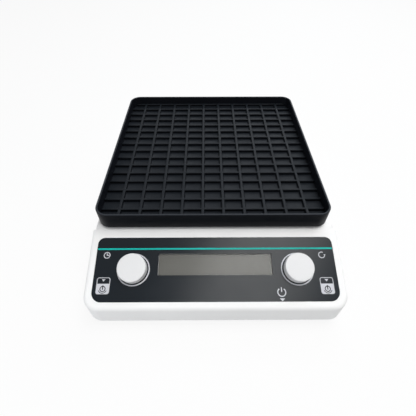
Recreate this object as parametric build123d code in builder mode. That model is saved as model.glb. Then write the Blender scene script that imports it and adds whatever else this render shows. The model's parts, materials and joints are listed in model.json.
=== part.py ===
from build123d import *
from math import atan2, ceil, cos, radians, sin
import os

# A compact digital orbital shaker, in millimetres. +Z is up, +Y points to the back of the
# bench, and the origin is on the bench under the middle of the housing. The tray is driven
# by a small crank in the middle and kept square by four idler cranks of the same throw.

# Housing
housing_length = 298.0
control_width = 236.0
side_step = 2.5
control_depth = 70.0
front_height = 29.9
deck_height = 56.3
slope_run = 74.63
housing_wall = 2.5
corner_radius = 14.0
edge_radius = 4.0
lip_length = 8.0
lip_wall = 2.0
lip_fit = 0.1
collar_wall = 2.0
collar_height = 0.9

# Base plate and feet
base_thickness = 2.0
base_fit = 0.3
foot_height = 8.0
foot_diameter = 20.0
foot_taper = 1.5
foot_recess = 4.0
foot_head_gap = 1.0
foot_gap = 1.0
column_diameter = 9.0
column_inset = 12.5

# Tray, platform and mat
tray_size = 221.0
tray_height = 17.5
tray_corner = 12.5
tray_wall = 2.0
tray_floor = 1.8
tray_skirt = 2.7
tray_gap = 2.2
tray_edge = 0.6
platform_margin = 4.0
platform_corner = 10.0
platform_thickness = 2.0
platform_bore = 58.0
mat_base = 0.7
mat_rib_height = 3.0
mat_cross_rib = 2.5
mat_long_rib = 3.0
mat_column_pitch = 20.2
mat_row_pitch = 13.4
mat_fit = 0.2

# Orbital drive: the orbit's centre is set from the middle of the deck, and the rest angle
# is where the crank pins stand, turned from +X
orbit_radius = 5.0
orbit_setback = 9.0
rest_angle = 109.0
idler_gap = 1.0
post_gap = 3.0
post_diameter = 12.0
post_clearance = 2.0
post_bite = 4.0
carrier_gap = 5.5
carrier_thickness = 3.0
carrier_arm = 24.0
carrier_slot = 8.0
hub_wall = 3.0
hub_lip = 1.0
axial_gap = 0.5
pin_diameter = 5.0
pin_chamfer = 0.5
shaft_diameter = 8.0
crank_disc_diameter = 24.0
crank_disc_height = 5.8
idler_disc_height = 4.5
running_fit = 0.05
seat_fit = 0.02

# Ball bearings: outside diameter and width for each shaft
drive_bearing_outside = 22.0
drive_bearing_width = 7.0
pin_bearing_outside = 16.0
pin_bearing_width = 5.0
motor_bearing_outside = 10.0
motor_bearing_width = 4.0
bearing_gap = 5.0
race_share = 0.125
shield_recess = 0.5
bearing_floor = 1.0
pedestal_wall = 3.0
flange_thickness = 3.0
flange_width = 8.0

# Belt drive
belt_ratio = 4
motor_pulley_radius = 9.5
pulley_height = 8.0
pulley_flange = 2.5
flange_lip = 0.8
pulley_web = 3.5
pulley_rim = 5.0
pulley_hub_diameter = 18.0
lightening_holes = 3
lightening_angle = 120.0
belt_thickness = 1.5
belt_clearance = 0.1
motor_distance = 70.0
weight_height = 5.0
weight_angle = 140.0
weight_clearance = 0.3

# Outer-rotor motor
motor_diameter = 42.0
motor_wall = 2.0
magnet_thickness = 2.0
motor_air_gap = 0.6
motor_lift = 0.8
motor_cap = 2.0
stator_teeth = 12
stator_yoke = 3.0
tooth_width = 3.0
tooth_tip = 1.2
slot_opening = 1.5
tube_wall = 1.5
coil_thickness = 0.8
coil_clearance = 0.1
coil_gap = 0.8
magnet_count = 14
magnet_gap = 1.6
bell_slots = 6
bell_slot_length = 9.5
bell_slot_width = 3.8

# Control panel: rises are measured up the slope from the overlay's middle, insets from the
# housing's sides, and the window's gap from the knobs' axes
panel_setback = 36.2
overlay_inset = 7.6
overlay_height = 59.0
overlay_thickness = 0.5
overlay_top_radius = 6.0
overlay_bottom_radius = 9.0
overlay_fit = 0.15
window_gap = 22.5
window_height = 20.0
window_rise = 3.9
lens_margin = 2.0
lens_thickness = 1.2
display_thickness = 2.8
display_frame_wall = 2.5
display_gap = 0.3
knob_inset = 43.0
knob_rise = -0.8
knob_diameter = 25.8
knob_height = 9.5
knob_gap = 1.0
knob_wall = 3.0
knob_cap = 5.5
knob_top = 1.6
knob_edge = 1.0
push_travel = 0.5
push_clearance = 0.25
key_inset = 59.3
key_rise = -21.5
key_diameter = 9.0
key_stem = 3.5
key_cap = 1.4
key_gap = 0.1
key_travel = 0.25
switch_size = 6.0
switch_height = 3.5
switch_well = 2.0
board_gap = 1.5
board_height = 52.0
board_thickness = 1.6
board_depth = 12.4
board_hole_inset = 6.0
processor_size = 14.0
socket_width = 14.0
socket_depth = 6.0
socket_spread = 97.0
socket_drop = 13.0
underside_height = 2.8
boss_diameter = 7.0

# Rotary encoders
encoder_size = 14.0
encoder_height = 7.0
encoder_wall = 1.5
encoder_shaft_diameter = 6.0
bushing_diameter = 9.0
bushing_rise = 2.4
rotor_lift = 1.0
rotor_height = 3.0
nut_width = 13.0
nut_thickness = 2.0

# Driver board and power inlet
driver_gap = 2.0
driver_back_gap = 1.0
driver_length = 62.0
driver_standoff = 5.0
driver_margin = 4.0
capacitor_diameter = 10.0
capacitor_height = 14.0
capacitor_pitch = 12.0
heat_sink_width = 34.0
heat_sink_depth = 16.0
heat_sink_height = 14.0
heat_sink_fins = 5
fin_pitch = 6.0
fin_root = 3.0
jack_inset = 17.0
jack_width = 9.0
jack_height = 11.0
jack_length = 14.0
jack_bore = 6.4
jack_depth = 10.0
jack_pin = 2.0
jack_recess = 0.3
inlet_width = 30.0
inlet_height = 20.0
inlet_corner = 3.0
inlet_depth = 0.8
vent_slots = 9
vent_pitch = 5.0
vent_width = 2.2
vent_height = 14.0
jack_fit = 0.2

# Screws
screw_diameter = 3.0
screw_head_diameter = 5.6
screw_head_height = 1.6
screw_bite = 6.0
screw_tip = 1.0
screw_hole_depth = 12.0
screw_fit = 0.05

os.makedirs("parts", exist_ok=True)

# Levels, from the bench upwards
base_bottom = foot_height
base_top = base_bottom + base_thickness
deck_bottom = deck_height - housing_wall
tray_bottom = deck_height + tray_gap
tray_top = tray_bottom + tray_height
floor_bottom = tray_bottom + tray_skirt
floor_top = floor_bottom + tray_floor
platform_bottom = floor_bottom - platform_thickness
hub_height = pin_bearing_width + hub_lip
carrier_top = deck_bottom - carrier_gap
carrier_bottom = carrier_top - carrier_thickness
hub_bottom = carrier_top - hub_height
disc_top = hub_bottom - axial_gap
pulley_top = disc_top - crank_disc_height
pulley_bottom = pulley_top - pulley_height
pedestal_top = disc_top - idler_disc_height - axial_gap
drive_housing_top = pulley_bottom - 2 * axial_gap
pin_top = carrier_top - hub_lip
driver_bottom = base_top + driver_standoff
driver_top = driver_bottom + board_thickness
jack_level = driver_top + jack_height / 2
vent_level = driver_top + heat_sink_height

# Places in plan
front_y = -housing_length / 2
back_y = housing_length / 2
seam_y = front_y + control_depth
rear_width = control_width - 2 * side_step
control_cavity = control_width / 2 - housing_wall
rear_cavity = rear_width / 2 - housing_wall
orbit_centre_y = (seam_y + back_y) / 2 - orbit_setback
pin_x = orbit_radius * cos(radians(rest_angle))
pin_y = orbit_radius * sin(radians(rest_angle))
tray_centre = (pin_x, orbit_centre_y + pin_y)
motor_y = orbit_centre_y - motor_distance
driven_pulley_radius = motor_pulley_radius * belt_ratio
hub_diameter = pin_bearing_outside + 2 * hub_wall
pedestal_diameter = pin_bearing_outside + 2 * pedestal_wall
pedestal_flange = pedestal_diameter + 2 * flange_width
idler_reach = (column_diameter + pedestal_flange) / 2 + idler_gap
idler_span = 2 * (rear_cavity - column_inset - idler_reach)
post_span = idler_span - (hub_diameter + post_diameter + 2 * post_gap) / 2 ** 0.5
driver_width = idler_span - pedestal_flange - 2 * driver_gap
jack_offset = jack_inset - driver_width / 2
heat_sink_x = driver_width / 4
idler_places = [(x, orbit_centre_y + y) for x, y in
                ((-idler_span / 2, -idler_span / 2), (idler_span / 2, -idler_span / 2),
                 (-idler_span / 2, idler_span / 2), (idler_span / 2, idler_span / 2))]
idler_names = ("front_left", "front_right", "rear_left", "rear_right")

# The panel slope, with its origin in the middle of the overlay and its normal outwards
tilt = atan2(deck_height - front_height, slope_run)
panel = Plane(
    origin=(0, front_y + panel_setback * cos(tilt), front_height + panel_setback * sin(tilt)),
    x_dir=(1, 0, 0),
    z_dir=(0, -sin(tilt), cos(tilt)),
)
overlay_width = control_width - 2 * overlay_inset
knob_offset = control_width / 2 - knob_inset
key_offset = control_width / 2 - key_inset
window_width = 2 * (knob_offset - window_gap)
board_width = 2 * (control_cavity - column_inset - column_diameter / 2 - board_gap)
board_hole_x = board_width / 2 - board_hole_inset
board_hole_y = board_height / 2 - board_hole_inset
board_holes = [(x * board_hole_x, y * board_hole_y) for x in (-1, 1) for y in (-1, 1)]

low = (Align.CENTER, Align.CENTER, Align.MIN)
high = (Align.CENTER, Align.CENTER, Align.MAX)


def save(piece, name):
    piece.label = name
    export_step(piece, f"parts/{name}.step")


# A block with the housing's plan and side outline, drawn inwards from its skin by inset
def housing_form(half_width, front, back, inset, front_corner, back_corner):
    with BuildPart() as form:
        with BuildSketch(Plane.XY.offset(base_bottom)) as plan:
            with Locations((0, (front + back) / 2)):
                Rectangle(2 * half_width, back - front)
            if front_corner:
                fillet(plan.vertices().group_by(Axis.Y)[0], front_corner)
            if back_corner:
                fillet(plan.vertices().group_by(Axis.Y)[-1], back_corner)
        extrude(amount=deck_height - inset - base_bottom)
        split(bisect_by=panel.offset(-inset), keep=Keep.BOTTOM)
    return form.part


# Columns that take the housing screws, from the base plate up into the roof
def screw_columns(places):
    with BuildPart() as columns:
        with Locations(*[(x, y, base_top) for x, y in places]):
            Cylinder(column_diameter / 2, deck_height - base_top, align=low)
            Cylinder(screw_diameter / 2 + screw_fit, screw_hole_depth, align=low,
                     mode=Mode.SUBTRACT)
    return columns.part


# A pan-head screw, head down, with the underside of its head at the origin
def pan_screw(length):
    with BuildPart() as screw:
        Cylinder(screw_diameter / 2, length, align=low)
        Cylinder(screw_head_diameter / 2, screw_head_height, align=high)
    return screw.part


# A countersunk screw, head up, flush with the origin; with a fit it is the hole for one
def flat_screw(length, fit=0):
    with BuildPart() as screw:
        Cylinder(screw_diameter / 2 + fit, length, align=high)
        Cone(screw_diameter / 2 + fit, screw_head_diameter / 2 + fit, screw_head_height, align=high)
    return screw.part


# Copies of one screw with their heads seated at a level
def screw_group(screw, places, level, turn=0):
    with BuildPart() as group:
        with Locations(*[Location((x, y, level), (turn, 0, 0)) for x, y in places]):
            add(screw)
    return group.part


# A shielded ball bearing standing on the origin
def ball_bearing(bore, outside, width):
    race = (outside - bore) * race_share
    with BuildPart() as bearing:
        with BuildSketch():
            Circle(outside / 2)
            Circle(bore / 2 + running_fit, mode=Mode.SUBTRACT)
        extrude(amount=width)
        with BuildSketch(Plane.XY.offset(width)):
            Circle(outside / 2 - race)
            Circle(bore / 2 + race, mode=Mode.SUBTRACT)
        extrude(amount=-shield_recess, mode=Mode.SUBTRACT)
    return bearing.part


# Housing shells
front_columns = [(x, front_y + column_inset + housing_wall) for x in
                 (-control_cavity + column_inset, control_cavity - column_inset)]
rear_columns = [(x, y) for x in (-rear_cavity + column_inset, rear_cavity - column_inset)
                for y in (seam_y + column_inset, back_y - housing_wall - column_inset)]
inner_corner = corner_radius - housing_wall

control_block = housing_form(control_width / 2, front_y, seam_y, 0, corner_radius, 0)
control_void = housing_form(control_cavity, front_y + housing_wall, seam_y, housing_wall,
                            inner_corner, 0)
front_column_block = screw_columns(front_columns)

with BuildPart() as front_cavity:
    add(control_void)
    add(front_column_block, mode=Mode.SUBTRACT)

with BuildPart() as front_housing:
    add(control_block)
    slope_edges = front_housing.faces().filter_by(panel).edges()
    fillet(slope_edges.filter_by(lambda edge: edge.center().Y < seam_y - edge_radius), edge_radius)
    add(front_cavity.part, mode=Mode.SUBTRACT)
    # Shallow seat for the overlay, deeper round the display
    with BuildSketch(panel) as seat:
        Rectangle(overlay_width + 2 * overlay_fit, overlay_height + 2 * overlay_fit)
        fillet(seat.vertices().group_by(Axis.Y)[0], overlay_bottom_radius + overlay_fit)
        fillet(seat.vertices().group_by(Axis.Y)[-1], overlay_top_radius + overlay_fit)
    extrude(amount=-overlay_thickness, mode=Mode.SUBTRACT)
    with BuildSketch(panel.offset(-overlay_thickness)):
        with Locations((0, window_rise)):
            Rectangle(window_width + 2 * (lens_margin + overlay_fit),
                      window_height + 2 * (lens_margin + overlay_fit))
    extrude(amount=-lens_thickness, mode=Mode.SUBTRACT)
    with BuildSketch(panel):
        with Locations((0, window_rise)):
            Rectangle(window_width, window_height)
        with Locations((-knob_offset, knob_rise), (knob_offset, knob_rise)):
            Circle(bushing_diameter / 2 + overlay_fit)
        with Locations((key_offset, key_rise)):
            Circle(key_diameter / 2 + display_gap)
    extrude(amount=-2 * housing_wall, mode=Mode.SUBTRACT)
    # Bosses that carry the control board
    with BuildSketch(panel.offset(-housing_wall)):
        with Locations(*board_holes):
            Circle(boss_diameter / 2)
    extrude(amount=-(board_depth - housing_wall))
    with BuildSketch(panel.offset(-board_depth)):
        with Locations(*board_holes):
            Circle(screw_diameter / 2 + screw_fit)
    extrude(amount=screw_bite + screw_tip, mode=Mode.SUBTRACT)
save(front_housing.part, "front_housing")

rear_block = housing_form(rear_width / 2, seam_y, back_y, 0, 0, corner_radius)
joint_y = seam_y + 2 * lip_wall
rear_void = housing_form(rear_cavity, joint_y, back_y - housing_wall, housing_wall, 0, inner_corner)
lip_inset = housing_wall + lip_fit
lip_block = housing_form(control_cavity - lip_fit, seam_y - lip_length, joint_y, lip_inset, 0, 0)
lip_void = housing_form(control_cavity - lip_fit - lip_wall, seam_y - lip_length, joint_y,
                        lip_inset + lip_wall, 0, 0)
rear_column_block = screw_columns(rear_columns)
post_places = [(x * post_span / 2, y * post_span / 2) for x in (-1, 1) for y in (-1, 1)]
deck_holes = [(x, orbit_centre_y + y) for x, y in post_places]
deck_hole_radius = post_diameter / 2 + orbit_radius + post_clearance

with BuildPart() as rear_cavity_block:
    add(rear_void)
    add(rear_column_block, mode=Mode.SUBTRACT)

with BuildPart() as rear_housing:
    add(rear_block)
    roof = rear_housing.faces().filter_by(panel) + rear_housing.faces().filter_by(Axis.Z)[-1:]
    outer_edges = roof.edges().filter_by(
        lambda edge: abs(edge.center().X) > corner_radius or edge.center().Y > 0)
    fillet(outer_edges, edge_radius)
    add(lip_block)
    add(rear_cavity_block.part, mode=Mode.SUBTRACT)
    add(lip_void, mode=Mode.SUBTRACT)
    # Deck holes for the platform posts, each with a collar that keeps spills out
    with BuildSketch(Plane.XY.offset(deck_bottom)):
        with Locations(*deck_holes):
            Circle(deck_hole_radius + collar_wall)
    extrude(amount=housing_wall + collar_height)
    with BuildSketch(Plane.XY.offset(deck_bottom)):
        with Locations(*deck_holes):
            Circle(deck_hole_radius)
    extrude(amount=housing_wall + collar_height, mode=Mode.SUBTRACT)
    # Power inlet in a shallow recess, and air slots behind the heat sink
    with BuildSketch(Plane.XZ.offset(-back_y)):
        with Locations((jack_offset, jack_level)):
            RectangleRounded(inlet_width, inlet_height, inlet_corner)
    extrude(amount=inlet_depth, mode=Mode.SUBTRACT)
    with BuildSketch(Plane.XZ.offset(-back_y)):
        with Locations((jack_offset, jack_level)):
            Rectangle(jack_width + 2 * jack_fit, jack_height + 2 * jack_fit)
        with Locations((heat_sink_x, vent_level)):
            with GridLocations(vent_pitch, 0, vent_slots, 1):
                SlotOverall(vent_height, vent_width, rotation=90)
    extrude(amount=2 * housing_wall, mode=Mode.SUBTRACT)
save(rear_housing.part, "rear_housing")

# Base plate with everything that is screwed to it from below
foot_step = (foot_diameter + column_diameter) / 2 + foot_gap
foot_places = [(side * (cavity - column_inset - foot_step), y) for cavity, y in
               ((control_cavity, front_y + housing_wall + column_inset),
                (rear_cavity, back_y - housing_wall - column_inset)) for side in (-1, 1)]
pedestal_pitch = (pedestal_diameter + flange_width) / 2
pedestal_screw_places = [(x + side * pedestal_pitch, y) for x, y in idler_places for side in (-1, 1)]
drive_housing_diameter = drive_bearing_outside + 2 * pedestal_wall
drive_flange = drive_housing_diameter + 2 * flange_width
drive_pitch = (drive_housing_diameter + flange_width) / 2
drive_screw_places = [(x * drive_pitch, orbit_centre_y + y * drive_pitch) for x, y in
                      ((-1, 0), (1, 0), (0, -1), (0, 1))]
tube_diameter = motor_bearing_outside + 2 * tube_wall
motor_pitch = (tube_diameter + motor_diameter) / 4 - tooth_width
motor_screw_places = [(x * motor_pitch, motor_y + y * motor_pitch) for x, y in
                      ((-1, 0), (1, 0), (0, -1), (0, 1))]
driver_y = back_y - housing_wall - driver_back_gap - driver_length / 2
driver_hole_x = driver_width / 2 - driver_margin
driver_hole_y = driver_length / 2 - driver_margin
driver_screw_places = [(x * driver_hole_x, driver_y + y * driver_hole_y)
                       for x in (-1, 1) for y in (-1, 1)]
base_holes = (front_columns + rear_columns + foot_places + pedestal_screw_places
              + drive_screw_places + motor_screw_places)

with BuildPart() as bottom_plate:
    with BuildSketch(Plane.XY.offset(base_bottom)):
        with BuildSketch() as control_plan:
            front_edge = front_y + housing_wall + base_fit
            rear_edge = seam_y - lip_length - base_fit
            with Locations((0, (front_edge + rear_edge) / 2)):
                Rectangle(2 * (control_cavity - base_fit), rear_edge - front_edge)
            fillet(control_plan.vertices().group_by(Axis.Y)[0], inner_corner)
        with BuildSketch() as rear_plan:
            back_edge = back_y - housing_wall - base_fit
            with Locations((0, (rear_edge + back_edge) / 2)):
                Rectangle(2 * (rear_cavity - base_fit), back_edge - rear_edge)
            fillet(rear_plan.vertices().group_by(Axis.Y)[-1], inner_corner)
        with Locations(*base_holes):
            Circle(screw_diameter / 2 + screw_fit, mode=Mode.SUBTRACT)
    extrude(amount=base_thickness)
    # Standoffs pressed into the plate for the driver board
    with BuildSketch(Plane.XY.offset(base_top)):
        with Locations(*driver_screw_places):
            Circle(boss_diameter / 2)
            Circle(screw_diameter / 2 + screw_fit, mode=Mode.SUBTRACT)
    extrude(amount=driver_standoff)
save(bottom_plate.part, "bottom_plate")

for name, (x, y) in zip(idler_names, foot_places):
    with BuildPart() as foot:
        with Locations((x, y, 0)):
            Cone(foot_diameter / 2 - foot_taper, foot_diameter / 2, foot_height, align=low)
            Cylinder(screw_diameter / 2 + screw_fit, foot_height, align=low, mode=Mode.SUBTRACT)
            Cylinder(screw_head_diameter / 2 + foot_head_gap, foot_recess, align=low,
                     mode=Mode.SUBTRACT)
    save(foot.part, f"foot_{name}")

foot_screw = pan_screw(foot_height - foot_recess + base_thickness + screw_tip)
save(screw_group(foot_screw, foot_places, foot_recess), "foot_screws")
housing_screw = pan_screw(base_thickness + screw_bite)
save(screw_group(housing_screw, front_columns + rear_columns, base_bottom), "housing_screws")
flange_screw = pan_screw(base_thickness + flange_thickness)
flange_screw_places = pedestal_screw_places + drive_screw_places + motor_screw_places
save(screw_group(flange_screw, flange_screw_places, base_bottom), "flange_screws")

# Middle bearing housing: a turned flange with two ball bearings
with BuildPart() as drive_bearing_housing:
    with Locations((0, orbit_centre_y, base_top)):
        Cylinder(drive_flange / 2, flange_thickness, align=low)
        Cylinder(drive_housing_diameter / 2, drive_housing_top - base_top, align=low)
    housing_edges = drive_bearing_housing.edges().filter_by(GeomType.CIRCLE).filter_by(
        lambda edge: abs(edge.radius - drive_housing_diameter / 2) < seat_fit)
    fillet(housing_edges.sort_by(Axis.Z)[0], flange_thickness / 2)
    with BuildSketch(Plane.XY.offset(base_top + bearing_floor)):
        with Locations((0, orbit_centre_y)):
            Circle(drive_bearing_outside / 2 + seat_fit)
    extrude(amount=drive_housing_top - base_top - bearing_floor, mode=Mode.SUBTRACT)
    with BuildSketch(Plane.XY.offset(base_top)):
        with Locations((0, orbit_centre_y)):
            Circle(shaft_diameter / 2 + axial_gap)
        with Locations(*drive_screw_places):
            Circle(screw_diameter / 2 + screw_fit)
    extrude(amount=flange_thickness, mode=Mode.SUBTRACT)
save(drive_bearing_housing.part, "drive_bearing_housing")

drive_bearing = ball_bearing(shaft_diameter, drive_bearing_outside, drive_bearing_width)
with BuildPart() as drive_bearings:
    with Locations((0, orbit_centre_y, base_top + bearing_floor),
                   (0, orbit_centre_y, drive_housing_top - drive_bearing_width)):
        add(drive_bearing)
save(drive_bearings.part, "drive_bearings")

# Driven pulley: hub, web and rim turned in one, with a lip on each side of the belt
hub_radius = pulley_hub_diameter / 2
rim_inside = driven_pulley_radius - pulley_rim
lip_radius = driven_pulley_radius + pulley_flange
web_bottom = pulley_top - pulley_web
crank_section = Plane((0, orbit_centre_y, 0), x_dir=(1, 0, 0), z_dir=(0, -1, 0))
crank_axis = Axis((0, orbit_centre_y, 0), (0, 0, 1))
weight_bolt_radius = (crank_disc_diameter / 2 + driven_pulley_radius) / 2
weight_middle = rest_angle + 180
weight_bolts = [(weight_bolt_radius * cos(radians(weight_middle + turn)),
                 orbit_centre_y + weight_bolt_radius * sin(radians(weight_middle + turn)))
                for turn in (-weight_angle / 4, weight_angle / 4)]

with BuildPart() as driven_pulley:
    with BuildSketch(crank_section):
        with BuildLine():
            Polyline((shaft_diameter / 2 + seat_fit, drive_housing_top + axial_gap),
                     (hub_radius, drive_housing_top + axial_gap), (hub_radius, web_bottom),
                     (rim_inside, web_bottom), (rim_inside, pulley_bottom),
                     (lip_radius, pulley_bottom), (lip_radius, pulley_bottom + flange_lip),
                     (driven_pulley_radius, pulley_bottom + flange_lip),
                     (driven_pulley_radius, pulley_top - flange_lip),
                     (lip_radius, pulley_top - flange_lip), (lip_radius, pulley_top),
                     (shaft_diameter / 2 + seat_fit, pulley_top), close=True)
        make_face()
    revolve(axis=crank_axis)
    # Lightening holes on the side away from the counterweight, and its bolt holes
    with BuildSketch(Plane.XY.offset(web_bottom)):
        with Locations((0, orbit_centre_y)):
            with PolarLocations((hub_radius + rim_inside) / 2, lightening_holes,
                                start_angle=rest_angle - lightening_angle / 2,
                                angular_range=lightening_angle, endpoint=True):
                Circle((rim_inside - hub_radius) / 2 - pulley_web)
        with Locations(*weight_bolts):
            Circle(screw_diameter / 2 + screw_fit)
    extrude(amount=pulley_web, mode=Mode.SUBTRACT)
save(driven_pulley.part, "driven_pulley")

with BuildPart() as drive_crank:
    with Locations((0, orbit_centre_y, base_top + axial_gap)):
        Cylinder(shaft_diameter / 2, pulley_top - base_top - axial_gap, align=low)
    with Locations((0, orbit_centre_y, pulley_top)):
        Cylinder(crank_disc_diameter / 2, crank_disc_height, align=low)
    with Locations((*tray_centre, disc_top)):
        Cylinder(pin_diameter / 2, pin_top - disc_top, align=low)
    chamfer(drive_crank.faces().sort_by(Axis.Z)[-1].edges(), pin_chamfer)
save(drive_crank.part, "drive_crank")

with BuildPart() as counterweight:
    with BuildSketch(Plane.XY.offset(pulley_top)):
        with Locations((0, orbit_centre_y)):
            Circle(driven_pulley_radius)
            Circle(crank_disc_diameter / 2 + weight_clearance, mode=Mode.SUBTRACT)
            reach = 2 * driven_pulley_radius / cos(radians(weight_angle / 2))
            sides = [radians(weight_middle + turn) for turn in (-weight_angle / 2, weight_angle / 2)]
            Polygon((0, 0), *[(reach * cos(side), reach * sin(side)) for side in sides], align=None,
                    mode=Mode.INTERSECT)
    extrude(amount=weight_height)
    with Locations(*[(x, y, pulley_top + weight_height) for x, y in weight_bolts]):
        add(flat_screw(weight_height, screw_fit), mode=Mode.SUBTRACT)
save(counterweight.part, "counterweight")
weight_screw = flat_screw(weight_height + pulley_web)
save(screw_group(weight_screw, weight_bolts, pulley_top + weight_height), "counterweight_screws")

# Four pedestals, each with two bearings for an idler crank
lower_bearing = pedestal_top - 2 * pin_bearing_width - bearing_gap
with BuildPart() as idler_pedestals:
    with Locations(*[(x, y, base_top) for x, y in idler_places]):
        Cylinder(pedestal_flange / 2, flange_thickness, align=low)
        Cylinder(pedestal_diameter / 2, pedestal_top - base_top, align=low)
    with BuildSketch(Plane.XY.offset(lower_bearing)):
        with Locations(*idler_places):
            Circle(pin_bearing_outside / 2 + seat_fit)
    extrude(amount=pedestal_top - lower_bearing, mode=Mode.SUBTRACT)
    with BuildSketch(Plane.XY.offset(base_top)):
        with Locations(*pedestal_screw_places):
            Circle(screw_diameter / 2 + screw_fit)
    extrude(amount=flange_thickness, mode=Mode.SUBTRACT)
save(idler_pedestals.part, "idler_pedestals")

pin_bearing = ball_bearing(pin_diameter, pin_bearing_outside, pin_bearing_width)
with BuildPart() as pedestal_bearings:
    with Locations(*[(x, y, z) for x, y in idler_places
                     for z in (lower_bearing, pedestal_top - pin_bearing_width)]):
        add(pin_bearing)
save(pedestal_bearings.part, "pedestal_bearings")

for name, (x, y) in zip(idler_names, idler_places):
    with BuildPart() as idler_crank:
        with Locations((x, y, lower_bearing + axial_gap)):
            Cylinder(pin_diameter / 2, pedestal_top - lower_bearing, align=low)
        with Locations((x, y, pedestal_top + axial_gap)):
            Cylinder(crank_disc_diameter / 2, idler_disc_height, align=low)
        with Locations((x + pin_x, y + pin_y, disc_top)):
            Cylinder(pin_diameter / 2, pin_top - disc_top, align=low)
        chamfer(idler_crank.faces().sort_by(Axis.Z)[-1].edges(), pin_chamfer)
    save(idler_crank.part, f"idler_crank_{name}")

# Cast spider that joins the five crank pins and carries the platform posts
carrier_places = [(x + pin_x, y + pin_y) for x, y in idler_places] + [tray_centre]
carrier_posts = [(pin_x + x, tray_centre[1] + y) for x, y in post_places]
slot_start = hub_diameter / 2 + hub_wall
slot_end = (post_span * 2 ** 0.5 - post_diameter) / 2 - hub_wall
with BuildPart() as orbit_carrier:
    with BuildSketch(Plane.XY.offset(carrier_bottom)) as spider:
        with Locations(tray_centre):
            Rectangle(idler_span * 2 ** 0.5, carrier_arm, rotation=45)
            Rectangle(idler_span * 2 ** 0.5, carrier_arm, rotation=-45)
        with Locations(*carrier_places):
            Circle(max(hub_diameter, carrier_arm) / 2)
        with Locations(tray_centre):
            with PolarLocations((slot_start + slot_end) / 2, 4, start_angle=45):
                SlotOverall(slot_end - slot_start, carrier_slot, mode=Mode.SUBTRACT)
    extrude(amount=carrier_thickness)
    with BuildSketch(Plane.XY.offset(hub_bottom)):
        with Locations(*carrier_places):
            Circle(hub_diameter / 2)
    extrude(amount=hub_height - carrier_thickness)
    with BuildSketch(Plane.XY.offset(hub_bottom)):
        with Locations(*carrier_places):
            Circle(pin_bearing_outside / 2 + seat_fit)
    extrude(amount=pin_bearing_width, mode=Mode.SUBTRACT)
    with BuildSketch(Plane.XY.offset(hub_bottom)):
        with Locations(*carrier_places):
            Circle(pin_bearing_outside / 2 - hub_lip)
        with Locations(*carrier_posts):
            Circle(screw_diameter / 2 + screw_fit)
    extrude(amount=hub_height, mode=Mode.SUBTRACT)
save(orbit_carrier.part, "orbit_carrier")

with BuildPart() as carrier_bearings:
    with Locations(*[(x, y, hub_bottom) for x, y in carrier_places]):
        add(pin_bearing)
save(carrier_bearings.part, "carrier_bearings")

with BuildPart() as platform_posts:
    with BuildSketch(Plane.XY.offset(carrier_top)):
        with Locations(*carrier_posts):
            Circle(post_diameter / 2)
            Circle(screw_diameter / 2 + screw_fit, mode=Mode.SUBTRACT)
    extrude(amount=platform_bottom - carrier_top)
save(platform_posts.part, "platform_posts")
post_screw = pan_screw(carrier_thickness + post_bite)
save(screw_group(post_screw, carrier_posts, carrier_bottom), "post_screws")

well_size = tray_size - 2 * tray_wall
well_corner = tray_corner - tray_wall
platform_size = well_size - 2 * platform_margin
with BuildPart() as platform_plate:
    with BuildSketch(Plane.XY.offset(platform_bottom)):
        with Locations(tray_centre):
            RectangleRounded(platform_size, platform_size, platform_corner)
            Circle(platform_bore / 2, mode=Mode.SUBTRACT)
        with Locations(*carrier_posts):
            Circle(screw_diameter / 2 + screw_fit, mode=Mode.SUBTRACT)
    extrude(amount=platform_thickness)
save(platform_plate.part, "platform_plate")

# Tray: a moulding with a raised rim above its floor and a skirt below
with BuildPart() as tray:
    with BuildSketch(Plane.XY.offset(tray_bottom)):
        with Locations(tray_centre):
            RectangleRounded(tray_size, tray_size, tray_corner)
    extrude(amount=tray_height)
    with BuildSketch(Plane.XY.offset(floor_top)):
        with Locations(tray_centre):
            RectangleRounded(well_size, well_size, well_corner)
    extrude(amount=tray_top - floor_top, mode=Mode.SUBTRACT)
    with BuildSketch(Plane.XY.offset(tray_bottom)):
        with Locations(tray_centre):
            RectangleRounded(well_size, well_size, well_corner)
    extrude(amount=tray_skirt, mode=Mode.SUBTRACT)
    fillet(tray.faces().sort_by(Axis.Z)[-1].edges(), tray_edge)
    with Locations(*[(x, y, floor_top) for x, y in carrier_posts]):
        add(flat_screw(tray_floor, screw_fit), mode=Mode.SUBTRACT)
save(tray.part, "tray")
tray_screw = flat_screw(tray_floor + platform_thickness + post_bite)
save(screw_group(tray_screw, carrier_posts, floor_top), "tray_screws")

# Rubber mat: ribs standing on a thin sheet, with pockets that run out at its left and right
mat_size = well_size - 2 * mat_fit
mat_columns = ceil(mat_size / mat_column_pitch)
mat_rows = round((mat_size - mat_cross_rib) / mat_row_pitch)
row_step = (mat_size - mat_cross_rib) / mat_rows
with BuildPart() as grip_mat:
    with BuildSketch(Plane.XY.offset(floor_top)):
        with Locations(tray_centre):
            RectangleRounded(mat_size, mat_size, well_corner - mat_fit)
    extrude(amount=mat_base + mat_rib_height)
    with BuildSketch(Plane.XY.offset(floor_top + mat_base)):
        with Locations(tray_centre):
            with GridLocations(mat_column_pitch, row_step, mat_columns, mat_rows):
                Rectangle(mat_column_pitch - mat_long_rib, row_step - mat_cross_rib)
    extrude(amount=mat_rib_height, mode=Mode.SUBTRACT)
save(grip_mat.part, "grip_mat")

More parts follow.
